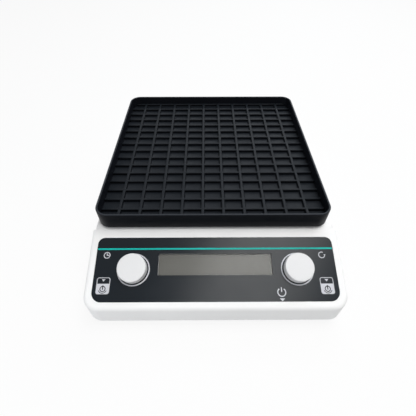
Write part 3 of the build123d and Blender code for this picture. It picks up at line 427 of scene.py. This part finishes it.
plasticValues = {
    "whiteShell": {"colour": grey(242), "grain": 1500.0, "drift": 0.025,
                   "rough": (0.48, 0.58), "specular": 0.14, "bump": 0.10, "pit": 0.0001,
                   "dustAndSheenColour": grey(190), "dustAndSheen": 0.10},
    "knobPlastic": {"colour": screenColour(222, 222, 223), "grain": 2600.0, "drift": 0.02,
                    "rough": (0.44, 0.52), "specular": 0.2, "bump": 0.06, "pit": 0.00006,
                    "dustAndSheenColour": grey(190), "dustAndSheen": 0.06},
    # the tray's even pale haze on faces that look up is painted sheen: its rim and floor read
    # lighter as if glinting in light from above
    "trayPlastic": {"colour": screenColour(15, 17, 22), "grain": 1300.0, "drift": 0.2,
                    "rough": (0.34, 0.46), "specular": 0.07, "bump": 0.16, "pit": 0.0001,
                    "dustAndSheenColour": screenColour(74, 79, 86), "dustAndSheen": 0.5, "paintedSheenHaze": 0.7},
    # the mat's even pale haze on rib tops and pocket floors is painted sheen; walls that don't
    # look up keep the dark base and read as shaded
    "matRubber": {"colour": screenColour(10, 12, 16), "grain": 1800.0, "drift": 0.25,
                  "rough": (0.42, 0.54), "specular": 0.09, "bump": 0.14, "pit": 0.0001,
                  "dustAndSheenColour": screenColour(32, 37, 43), "dustAndSheen": 0.65, "paintedSheenHaze": 0.6},
    "footRubber": {"colour": screenColour(30, 30, 32), "grain": 1500.0, "drift": 0.25,
                   "rough": (0.7, 0.85), "specular": 0.2, "bump": 0.2, "pit": 0.0001,
                   "dustAndSheenColour": grey(130), "dustAndSheen": 0.3},
    "blackPlastic": {"colour": screenColour(28, 28, 30), "grain": 2000.0, "drift": 0.15,
                     "rough": (0.4, 0.5), "specular": 0.4, "bump": 0.1, "pit": 0.0001,
                     "dustAndSheenColour": grey(130), "dustAndSheen": 0.15},
    "baseSteel": {"colour": screenColour(168, 170, 172), "grain": 1100.0, "drift": 0.06,
                  "rough": (0.45, 0.6), "specular": 0.4, "bump": 0.35, "pit": 0.00015,
                  "dustAndSheenColour": grey(150), "dustAndSheen": 0.1},
}

toolMark = 0.00005  # metres, the depth of the lines on a metal
metalValues = {
    "screwSteel": {"colour": grey(190), "rough": 0.28, "depth": 0.15, "metallic": 1.0,
                   "stretch": (3000.0, 3000.0, 600.0), "bump": 0.1},
    "brightSteel": {"colour": grey(205), "rough": 0.18, "depth": 0.12, "metallic": 1.0,
                    "stretch": (300.0, 300.0, 9000.0), "bump": 0.12},
    "castAlloy": {"colour": screenColour(196, 198, 201), "rough": 0.34, "depth": 0.2,
                  "metallic": 1.0, "stretch": (900.0, 900.0, 2500.0), "bump": 0.2},
    "magnetNickel": {"colour": grey(200), "rough": 0.16, "depth": 0.08, "metallic": 1.0,
                     "stretch": (1200.0, 1200.0, 1200.0), "bump": 0.05},
    "weightSteel": {"colour": grey(88), "rough": 0.42, "depth": 0.25, "metallic": 0.9,
                    "stretch": (700.0, 2600.0, 700.0), "bump": 0.2},
    "copperWire": {"colour": screenColour(196, 112, 66), "rough": 0.3, "depth": 0.3,
                   "metallic": 0.9, "stretch": (800.0, 800.0, 4200.0), "bump": 0.8},
}

filmValues = {
    "colour": screenColour(13, 21, 28), "grain": 3200.0, "drift": 0.12,
    "rough": (0.22, 0.27), "specular": 0.17, "bump": 0.05, "pit": 0.00004,
}

inkValues = {"grain": 4000.0, "drift": 0.08, "rough": (0.45, 0.55),
             "specular": 0.15, "bump": 0.05, "pit": 0.00003}
inkColours = {"paleInk": screenColour(205, 206, 212), "tealInk": screenColour(6, 184, 174),
              "darkInk": screenColour(38, 40, 46)}

displayValues = {
    "colour": screenColour(121, 120, 115), "rough": 0.22, "specular": 0.24,
    "pitch": 0.00042,            # of the dot matrix, in metres
    "dotEdge": (0.25, 0.6), "dotDepth": 0.05,
    "cloudScale": 18.0, "cloudDepth": 0.06,
}

windowValues = {
    "colour": (0.05, 0.055, 0.05, 1), "specular": 0.15, "alpha": 0.10,
    "smearScale": 60.0, "rough": (0.05, 0.12),
}

boardValues = {
    "mask": (screenColour(22, 84, 50), screenColour(26, 92, 56)),
    "track": screenColour(70, 130, 88), "trackScale": 160.0, "trackWidth": 0.03,
    "mottleScale": 300.0, "rough": (0.25, 0.4), "bump": 0.3, "pit": 0.00003,
}


def printedFilm(name, values):
    # a printed surface, of film or of ink: one colour with a fine grain and an uneven gloss
    material, nodes, links, shader, where = newMaterial(name)
    grain = grainOf(nodes, links, where, values)
    links.new(grain.outputs["Colour"], shader.inputs["Base Color"])
    coatWith(nodes, links, shader, grain, values)
    return material


def unlitDisplay():
    # grey reflective display with its faint dot grid
    material, nodes, links, shader, where = newMaterial("unlitDisplay")
    dots = nodes.new("ShaderNodeTexVoronoi")
    dots.inputs["Randomness"].default_value = 0
    dots.inputs["Scale"].default_value = 1 / displayValues["pitch"]
    links.new(where, dots.inputs["Vector"])
    cells = spread(nodes, links, dots.outputs["Distance"], 0.0, displayValues["dotDepth"],
                   *displayValues["dotEdge"])
    clouds = noiseNode(nodes, links, where, displayValues["cloudScale"], detail=2.0)
    clouds = spread(nodes, links, clouds, 0.0, displayValues["cloudDepth"])
    dim = mathNode(nodes, links, "ADD", cells, clouds)
    links.new(mixColour(nodes, links, dim, displayValues["colour"], black),
              shader.inputs["Base Color"])
    shader.inputs["Roughness"].default_value = displayValues["rough"]
    shader.inputs["Specular IOR Level"].default_value = displayValues["specular"]
    return material


def clearWindow():
    # nearly clear, and dark in what is left of it, so that it puts no haze over the display
    material, nodes, links, shader, where = newMaterial("clearWindow")
    marks = noiseNode(nodes, links, where, windowValues["smearScale"], detail=4.0, roughness=0.6)
    links.new(spread(nodes, links, marks, *windowValues["rough"]), shader.inputs["Roughness"])
    shader.inputs["Base Color"].default_value = windowValues["colour"]
    shader.inputs["Specular IOR Level"].default_value = windowValues["specular"]
    shader.inputs["Alpha"].default_value = windowValues["alpha"]
    return material


def circuitBoard():
    # green solder mask over a lattice of tracks
    material, nodes, links, shader, where = newMaterial("circuitBoard")
    tracks = nodes.new("ShaderNodeTexBrick")
    tracks.inputs["Scale"].default_value = boardValues["trackScale"]
    tracks.inputs["Mortar Size"].default_value = boardValues["trackWidth"]
    for title, colour in zip(("Color1", "Color2"), boardValues["mask"]):
        tracks.inputs[title].default_value = colour
    tracks.inputs["Mortar"].default_value = boardValues["track"]
    links.new(where, tracks.inputs["Vector"])
    links.new(tracks.outputs["Color"], shader.inputs["Base Color"])
    mottle = noiseNode(nodes, links, where, boardValues["mottleScale"])
    links.new(spread(nodes, links, mottle, *boardValues["rough"]), shader.inputs["Roughness"])
    bumpFrom(nodes, links, shader, tracks.outputs["Fac"], boardValues["bump"], boardValues["pit"])
    return material


materials = {name: mouldedPlastic(name, values) for name, values in plasticValues.items()}
materials.update({name: cutMetal(name, values) for name, values in metalValues.items()})
materials["controlFilm"] = printedFilm("controlFilm", filmValues)
for ink, inkColour in inkColours.items():
    materials[ink] = printedFilm(ink, {**inkValues, "colour": inkColour})
materials["unlitDisplay"] = unlitDisplay()
materials["clearWindow"] = clearWindow()
materials["circuitBoard"] = circuitBoard()

slotMaterials = {
    "white_shell": "whiteShell", "base_steel": "baseSteel", "rubber": "footRubber",
    "screw_steel": "screwSteel", "overlay_film": "controlFilm", "window": "clearWindow",
    "lcd": "unlitDisplay", "black_plastic": "blackPlastic", "circuit_board": "circuitBoard",
    "bright_steel": "brightSteel", "knob_plastic": "knobPlastic", "tray_plastic": "trayPlastic",
    "mat_rubber": "matRubber", "cast_alloy": "castAlloy", "copper_wire": "copperWire",
    "magnet": "magnetNickel", "weight_steel": "weightSteel",
}


def dressNodes():
    slotOf = {part["node"]: part["material_slot"] for part in frame["record"]["subparts"]}
    for name, node in frame["nodes"].items():
        for slot in node.material_slots:
            slot.material = materials[slotMaterials[slotOf[name]]]


dressNodes()
print("materials ready:", len(materials))


panel = {                   # degrees and millimetres
    "tilt": 19.48,
    "overlayHeight": 59.0,  # up the slope
    "inkThickness": 0.05,
    "inkSink": 0.01,        # how deep the ink's back lies in the film
}


def panelPlace():
    # millimetres across and up the slope, from the overlay's middle, to the frame's metres
    low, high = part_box("control_overlay")
    tilt = radians(panel["tilt"])
    half = panel["overlayHeight"] / 2 * mm
    origin = Vector((0, low.y + half * cos(tilt), high.z - half * sin(tilt)))
    return Matrix.Translation(origin) @ Matrix.Rotation(tilt, 4, "X") @ Matrix.Scale(mm, 4)


onPanel = panelPlace()


def addPolygon(bm, points):
    return bm.faces.new([bm.verts.new((x, y, 0)) for x, y in points])


def addBar(bm, x0, y0, x1, y1):
    return addPolygon(bm, ((x0, y0), (x1, y0), (x1, y1), (x0, y1)))


def addArc(bm, centre, inner, outer, start, sweep, steps):
    # a flat band, spun from one short edge
    x, y = centre
    direction = Vector((cos(radians(start)), sin(radians(start)), 0))
    ends = [bm.verts.new(Vector((x, y, 0)) + direction * radius) for radius in (inner, outer)]
    edge = bm.edges.new(ends)
    bmesh.ops.spin(bm, geom=ends + [edge], cent=(x, y, 0), axis=(0, 0, 1), dvec=(0, 0, 0),
                   angle=radians(sweep), steps=steps, use_merge=sweep == 360)


def addRoundedPlate(bm, x0, y0, x1, y1, corner, steps):
    others = set(bm.faces)
    face = addBar(bm, x0, y0, x1, y1)
    bmesh.ops.bevel(bm, geom=face.verts[:], offset=corner, segments=steps, profile=0.5,
                    affect="VERTICES", material=-1)
    return next(plate for plate in bm.faces if plate not in others)


def printOnPanel(bm, name, inkName, layer=0):
    # flat outlines become a closed coat of ink that stands just proud of the film
    bmesh.ops.remove_doubles(bm, verts=bm.verts, dist=weld)
    bmesh.ops.recalc_face_normals(bm, faces=bm.faces)
    for face in bm.faces:
        if face.normal.z < 0:
            face.normal_flip()
    grown = bmesh.ops.extrude_face_region(bm, geom=bm.faces[:], use_keep_orig=True)
    lifted = [item for item in grown["geom"] if isinstance(item, bmesh.types.BMVert)]
    bmesh.ops.translate(bm, vec=(0, 0, panel["inkThickness"]), verts=lifted)
    bmesh.ops.recalc_face_normals(bm, faces=bm.faces)
    rise = layer * panel["inkThickness"] - panel["inkSink"]
    bmesh.ops.translate(bm, vec=(0, 0, rise), verts=bm.verts)
    stand(finishPiece(bm, name, materials[inkName], onPanel), "chassis", "overlay_film")


knobPlaces = {"left": (-75.0, -0.8), "right": (75.0, -0.8)}

tealLine = {"width": 219.6, "low": 17.75, "high": 19.3}


def drawTealLine():
    bm = bmesh.new()
    half = tealLine["width"] / 2
    addBar(bm, -half, tealLine["low"], half, tealLine["high"])
    printOnPanel(bm, "teal_line", "tealInk")


knobRings = {"inner": 13.9, "outer": 15.0, "steps": 72}


def drawKnobRings():
    bm = bmesh.new()
    for centre in knobPlaces.values():
        addArc(bm, centre, knobRings["inner"], knobRings["outer"], 0, 360, knobRings["steps"])
    printOnPanel(bm, "knob_rings", "paleInk")


powerSymbol = {
    "place": (58.7, -21.5), "radius": 4.0, "stroke": 0.95,
    "gap": 70.0, "steps": 40,        # the gap in degrees
    "barFoot": 0.05, "barTop": 1.1,  # as shares of the radius
    "arrow": (58.75, -28.0), "arrowSize": 2.4,
}


def drawPowerSymbol():
    # the usual open ring with an upright bar in its gap, and a small arrow to the key below
    bm = bmesh.new()
    x, y = powerSymbol["place"]
    radius, stroke, gap = powerSymbol["radius"], powerSymbol["stroke"], powerSymbol["gap"]
    addArc(bm, (x, y), radius - stroke, radius, 90 + gap / 2, 360 - gap, powerSymbol["steps"])
    addBar(bm, x - stroke / 2, y + radius * powerSymbol["barFoot"],
           x + stroke / 2, y + radius * powerSymbol["barTop"])
    x, y = powerSymbol["arrow"]
    half = powerSymbol["arrowSize"]
    addPolygon(bm, ((x - half, y + half / 2), (x, y - half / 2), (x + half, y + half / 2)))
    printOnPanel(bm, "power_symbol", "paleInk")


pushIcon = {
    "places": {"left": (-100.9, -15.2), "right": (100.1, -15.85)},
    "width": 12.0, "height": 14.7, "corner": 1.9, "cornerSteps": 5, "frame": 0.55,
    "division": 0.24,            # where the pale field ends, as a share of half the height
    "arrowDrop": 1.6, "arrowHalfWidth": 1.7, "arrowDepth": 2.0,
    "button": (1.9, 2.7), "buttonSteps": 32,
    "pressMark": (3.4, 4.0), "markStart": 200, "markSweep": 140, "markSteps": 20,
    "stem": 0.9, "stemLow": -0.7, "stemHigh": 3.2,
}


def drawPushIcon(side):
    # a framed sign: a down arrow on the film above, and a pressed button on a pale field below
    x, y = pushIcon["places"][side]
    halfWidth, halfHeight = pushIcon["width"] / 2, pushIcon["height"] / 2
    division = y + halfHeight * pushIcon["division"]
    bm = bmesh.new()
    plate = addRoundedPlate(bm, x - halfWidth, y - halfHeight, x + halfWidth, y + halfHeight,
                            pushIcon["corner"], pushIcon["cornerSteps"])
    bmesh.ops.inset_region(bm, faces=[plate], thickness=pushIcon["frame"],
                           use_even_offset=True, use_boundary=True)
    bmesh.ops.delete(bm, geom=[plate], context="FACES")
    field = halfWidth - pushIcon["frame"]
    addBar(bm, x - field, y - halfHeight + pushIcon["frame"], x + field, division)
    arrowTop, half = y + halfHeight - pushIcon["arrowDrop"], pushIcon["arrowHalfWidth"]
    addPolygon(bm, ((x - half, arrowTop), (x, arrowTop - pushIcon["arrowDepth"]),
                    (x + half, arrowTop)))
    printOnPanel(bm, "push_icon_" + side, "paleInk")
    bm = bmesh.new()
    middle, half = (y - halfHeight + division) / 2, pushIcon["stem"] / 2
    addArc(bm, (x, middle), *pushIcon["button"], 0, 360, pushIcon["buttonSteps"])
    addArc(bm, (x, middle), *pushIcon["pressMark"], pushIcon["markStart"],
           pushIcon["markSweep"], pushIcon["markSteps"])
    addBar(bm, x - half, middle + pushIcon["stemLow"], x + half, middle + pushIcon["stemHigh"])
    printOnPanel(bm, "push_mark_" + side, "darkInk", layer=1)


dialSymbols = {
    "clock": (-100.6, 12.6), "turnArrow": (99.2, 12.2), "radius": 3.1, "stroke": 0.75,
    "clockSteps": 40, "hand": 0.6,                          # the hand as a share of the radius
    "arcStart": 60, "arcSweep": 290, "arcSteps": 36,
    "headHalfWidth": 1.0, "headBack": 0.5, "headTip": 0.9,  # of the turning arrow
}


def drawDialSymbols():
    # a clock face over the left knob's column and a turning arrow over the right one's
    radius, stroke = dialSymbols["radius"], dialSymbols["stroke"]
    bm = bmesh.new()
    x, y = dialSymbols["clock"]
    addArc(bm, (x, y), radius - stroke, radius, 0, 360, dialSymbols["clockSteps"])
    half, hand = stroke / 2, radius * dialSymbols["hand"]
    addPolygon(bm, ((x - half, y - half), (x + hand, y - half), (x + hand, y + half),
                    (x + half, y + half), (x + half, y + hand), (x - half, y + hand)))
    x, y = dialSymbols["turnArrow"]
    addArc(bm, (x, y), radius - stroke, radius, dialSymbols["arcStart"],
           dialSymbols["arcSweep"], dialSymbols["arcSteps"])
    tip, half = x + radius - stroke / 2, dialSymbols["headHalfWidth"]
    back = y + dialSymbols["headBack"]
    addPolygon(bm, ((tip - half, back), (tip + half, back), (tip, y - dialSymbols["headTip"])))
    printOnPanel(bm, "dial_symbols", "paleInk")


drawTealLine()
drawKnobRings()
drawPowerSymbol()
for iconSide in pushIcon["places"]:
    drawPushIcon(iconSide)
drawDialSymbols()
print("panel artwork ready")


knob = {
    "radius": 12.9, "top": 9.5,
    "gap": 1.0,                          # between the skirt and the film
    "edgeRound": 0.8, "edgeSteps": 5,
    "crown": 0.12,                       # how far the top swells over its edge
    "crownBend": 0.6, "crownDrop": 0.3,  # shares of the radius and of the crown
    "footChamfer": 0.3, "recess": 9.9, "recessTop": 4.0, "bore": 3.02, "boreTop": 7.9,
    "turnSteps": 96,
}


def makeKnob(side, body, node):
    # one turned outline: crowned top, rounded edge, plain skirt and a hollow underneath
    radius, top, rounding = knob["radius"], knob["top"], knob["edgeRound"]
    outline = [(0, knob["boreTop"]), (knob["bore"], knob["boreTop"]),
               (knob["bore"], knob["recessTop"]), (knob["recess"], knob["recessTop"]),
               (knob["recess"], knob["gap"]), (radius - knob["footChamfer"], knob["gap"]),
               (radius, knob["gap"] + knob["footChamfer"])]
    shoulder = top - knob["crown"]
    for step in range(knob["edgeSteps"] + 1):
        angle = pi / 2 * step / knob["edgeSteps"]
        outline.append((radius - rounding * (1 - cos(angle)),
                        shoulder - rounding * (1 - sin(angle))))
    outline += [((radius - rounding) * knob["crownBend"],
                 top - knob["crown"] * knob["crownDrop"]), (0, top)]
    bm = bmesh.new()
    ring = [bm.verts.new((x, 0, z)) for x, z in outline]
    edges = [bm.edges.new(pair) for pair in zip(ring, ring[1:])]
    bmesh.ops.spin(bm, geom=ring + edges, cent=(0, 0, 0), axis=(0, 0, 1), dvec=(0, 0, 0),
                   angle=2 * pi, steps=knob["turnSteps"], use_merge=True)
    bmesh.ops.remove_doubles(bm, verts=bm.verts, dist=weld)
    bmesh.ops.recalc_face_normals(bm, faces=bm.faces)
    place = onPanel @ Matrix.Translation((*knobPlaces[side], 0))
    piece = finishPiece(bm, side + "_knob_cap", materials["knobPlastic"], place)
    stand(piece, body, "knob_plastic", node)


makeKnob("left", "time_button", "time_knob")
makeKnob("right", "speed_button", "speed_knob")
print("knobs ready")


sharpAngle = 40  # degrees: edges that turn more get the rounding, and the rest are smooth


def roundedBlock(low, high, corner, steps):  # an upright block with rounded corners in plan
    bm = bmesh.new()
    bmesh.ops.create_cube(bm, size=1)
    bmesh.ops.scale(bm, vec=high - low, verts=bm.verts)
    bmesh.ops.translate(bm, vec=(low + high) / 2, verts=bm.verts)
    upright = [edge for edge in bm.edges if abs(edge.verts[0].co.z - edge.verts[1].co.z) > mm / 2]
    bmesh.ops.bevel(bm, geom=upright, offset=corner, segments=steps, profile=0.5,
                    affect="EDGES", material=-1)
    return bm


def hollowFace(bm, face, wall, depth):  # leaves a wall round a flat face and sinks the rest
    bmesh.ops.inset_region(bm, faces=[face], thickness=wall, use_even_offset=True)
    sunk = bmesh.ops.extrude_discrete_faces(bm, faces=[face])["faces"]
    bmesh.ops.translate(bm, vec=(0, 0, depth), verts=sunk[0].verts)


def sharpEdgesAt(bm, level):
    return [edge for edge in bm.edges
            if all(abs(vert.co.z - level) < hair for vert in edge.verts)
            and len(edge.link_faces) == 2 and edge.calc_face_angle(0) > radians(sharpAngle)]


def roundEdges(bm, edges, offset, segments):
    bmesh.ops.bevel(bm, geom=edges, offset=offset, segments=segments, profile=0.5,
                    affect="EDGES", material=-1)


tray = {
    "corner": 12.5, "cornerSteps": 12, "wall": 2.0, "skirt": 2.7, "floor": 1.8,
    "rimRound": 0.75, "footRound": 0.5, "floorRound": 1.2, "roundSteps": 3,
}


def makeTray():
    low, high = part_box("tray")
    bm = roundedBlock(low, high, tray["corner"] * mm, tray["cornerSteps"])
    faces = sorted(bm.faces, key=lambda face: face.calc_center_median().z)
    depth = high.z - low.z - (tray["skirt"] + tray["floor"]) * mm
    hollowFace(bm, faces[-1], tray["wall"] * mm, -depth)
    hollowFace(bm, faces[0], tray["wall"] * mm, tray["skirt"] * mm)
    roundEdges(bm, sharpEdgesAt(bm, high.z), tray["rimRound"] * mm, tray["roundSteps"])
    roundEdges(bm, sharpEdgesAt(bm, low.z), tray["footRound"] * mm, tray["roundSteps"])
    floorLevel = low.z + (tray["skirt"] + tray["floor"]) * mm
    roundEdges(bm, sharpEdgesAt(bm, floorLevel), tray["floorRound"] * mm, tray["roundSteps"])
    piece = finishPiece(bm, "tray_shell", materials["trayPlastic"], smoothAngle=sharpAngle)
    stand(piece, "platform", "tray_plastic", "tray")


mat = {
    "corner": 10.3, "cornerSteps": 8, "sheet": 0.7,
    "columnPitch": 20.2, "longRib": 3.0, "columns": 11,
    "crossRib": 2.5, "rows": 16,
    "ribRound": 0.8, "roundSteps": 3,
    "baseRound": 1.4, "baseSteps": 3,   # where the long ribs' sides meet the sheet
}


def ribEdges(middle, pitch, count, rib):
    # both sides of each rib that stands between two of count pockets
    first = middle - pitch * (count - 2) / 2
    lines = []
    for number in range(count - 1):
        ribMiddle = first + pitch * number
        lines += [ribMiddle - rib / 2, ribMiddle + rib / 2]
    return lines


def between(value, lines):  # true where a value lies inside a rib
    return any(start < value < end for start, end in zip(lines[::2], lines[1::2]))


def makeMat():
    low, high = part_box("grip_mat")
    middle = (low + high) / 2
    sheetTop = low.z + mat["sheet"] * mm
    bm = roundedBlock(low, Vector((high.x, high.y, sheetTop)), mat["corner"] * mm,
                      mat["cornerSteps"])
    rib = mat["crossRib"] * mm
    pitch = (high.y - low.y - rib) / mat["rows"]
    across = ribEdges(middle.x, mat["columnPitch"] * mm, mat["columns"], mat["longRib"] * mm)
    along = ribEdges(middle.y, pitch, mat["rows"], rib)
    along = [low.y - mm, low.y + rib] + along + [high.y - rib, high.y + mm]
    for normal, lines in (((1, 0, 0), across), ((0, 1, 0), along[1:-1])):
        for line in lines:
            bmesh.ops.bisect_plane(bm, geom=bm.verts[:] + bm.edges[:] + bm.faces[:],
                                   dist=weld * mm, plane_co=Vector(normal) * line,
                                   plane_no=normal)
    ribs = []
    for face in bm.faces:
        centre = face.calc_center_median()
        if face.normal.z > 0.5 and (between(centre.x, across) or between(centre.y, along)):
            ribs.append(face)
    grown = bmesh.ops.extrude_face_region(bm, geom=ribs)
    lifted = [item for item in grown["geom"] if isinstance(item, bmesh.types.BMVert)]
    bmesh.ops.translate(bm, vec=(0, 0, high.z - sheetTop), verts=lifted)
    bmesh.ops.delete(bm, geom=ribs, context="FACES")   # so that none stays inside a rib
    roundEdges(bm, sharpEdgesAt(bm, high.z), mat["ribRound"] * mm, mat["roundSteps"])
    bases = [edge for edge in sharpEdgesAt(bm, sheetTop)
             if abs(edge.verts[0].co.x - edge.verts[1].co.x) < hair
             and low.x + mm < edge.verts[0].co.x < high.x - mm]
    roundEdges(bm, bases, mat["baseRound"] * mm, mat["baseSteps"])
    piece = finishPiece(bm, "ribbed_mat", materials["matRubber"], smoothAngle=sharpAngle)
    stand(piece, "platform", "mat_rubber", "grip_mat")


makeTray()
makeMat()
print("tray and mat ready")
